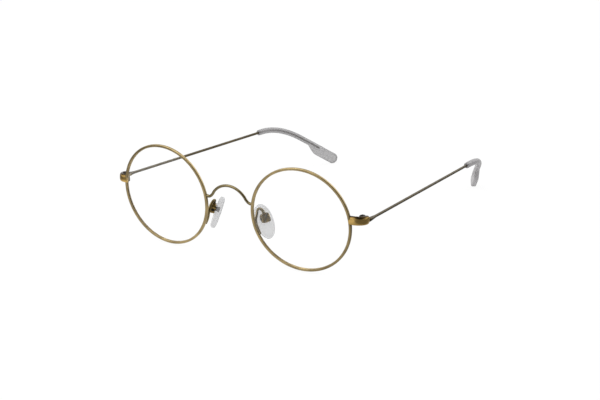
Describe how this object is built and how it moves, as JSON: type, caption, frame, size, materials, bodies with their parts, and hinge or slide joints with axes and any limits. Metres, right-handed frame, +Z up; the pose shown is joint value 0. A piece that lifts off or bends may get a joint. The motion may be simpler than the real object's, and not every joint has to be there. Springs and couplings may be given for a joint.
{
  "type": "round eyeglasses",
  "caption": "Round wire-rimmed eyeglasses with an arched bridge, clear lenses, adjustable nose pads and folding wire temples with plastic tips.",
  "frame": {"origin": "middle of the footprint, on the surface that the rims and the temple tips stand on", "axes": "+X to the wearer's left, +Y from the front to the temple tips, +Z up"},
  "size_m": [0.126, 0.1516, 0.0447],
  "materials": {
    "antique_brass": "antique brass plating, satin",
    "dark_steel": "blackened steel screws",
    "clear_lens": "clear plastic lens",
    "grey_tip": "translucent grey plastic",
    "clear_silicone": "clear silicone",
    "pad_insert": "dark pad stiffener with its mounting tongue"
  },
  "bodies": {
    "front": {"bridge": "antique_brass", "left_rim": "antique_brass", "right_rim": "antique_brass", "left_lens": "clear_lens", "right_lens": "clear_lens", "left_end_piece": "antique_brass", "right_end_piece": "antique_brass", "left_closing_block_upper": "antique_brass", "right_closing_block_upper": "antique_brass", "left_closing_block_lower": "antique_brass", "right_closing_block_lower": "antique_brass", "left_closing_screw": "dark_steel", "right_closing_screw": "dark_steel", "left_hinge_front_leaf": "antique_brass", "right_hinge_front_leaf": "antique_brass", "left_hinge_screw": "dark_steel", "right_hinge_screw": "dark_steel", "left_pad_arm": "antique_brass", "right_pad_arm": "antique_brass", "left_pad_box": "antique_brass", "right_pad_box": "antique_brass", "left_pad_screw": "dark_steel", "right_pad_screw": "dark_steel"},
    "left_temple": {"left_hinge_temple_leaf": "antique_brass", "left_temple": "antique_brass", "left_temple_tip": "grey_tip"},
    "right_temple": {"right_hinge_temple_leaf": "antique_brass", "right_temple": "antique_brass", "right_temple_tip": "grey_tip"},
    "left_nose_pad": {"left_nose_pad": "clear_silicone", "left_pad_insert": "pad_insert"},
    "right_nose_pad": {"right_nose_pad": "clear_silicone", "right_pad_insert": "pad_insert"}
  },
  "joints": [
    {"name": "left_temple_fold", "type": "hinge", "parent": "front", "child": "left_temple", "pos_m": [0.06012, -0.06671, 0.0249], "axis": [0, -0.0698, 0.9976], "range_deg": [0, 82]},
    {"name": "right_temple_fold", "type": "hinge", "parent": "front", "child": "right_temple", "pos_m": [-0.06012, -0.06671, 0.0249], "axis": [0, 0.0698, -0.9976], "range_deg": [0, 79]},
    {"name": "left_nose_pad_rock", "type": "hinge", "parent": "front", "child": "left_nose_pad", "pos_m": [0.01339, -0.06724, 0.01829], "axis": [0.5274, 0.8261, 0.1984], "range_deg": [-8, 8]},
    {"name": "right_nose_pad_rock", "type": "hinge", "parent": "front", "child": "right_nose_pad", "pos_m": [-0.01339, -0.06724, 0.01829], "axis": [0.5274, -0.8261, -0.1984], "range_deg": [-8, 8]}
  ]
}
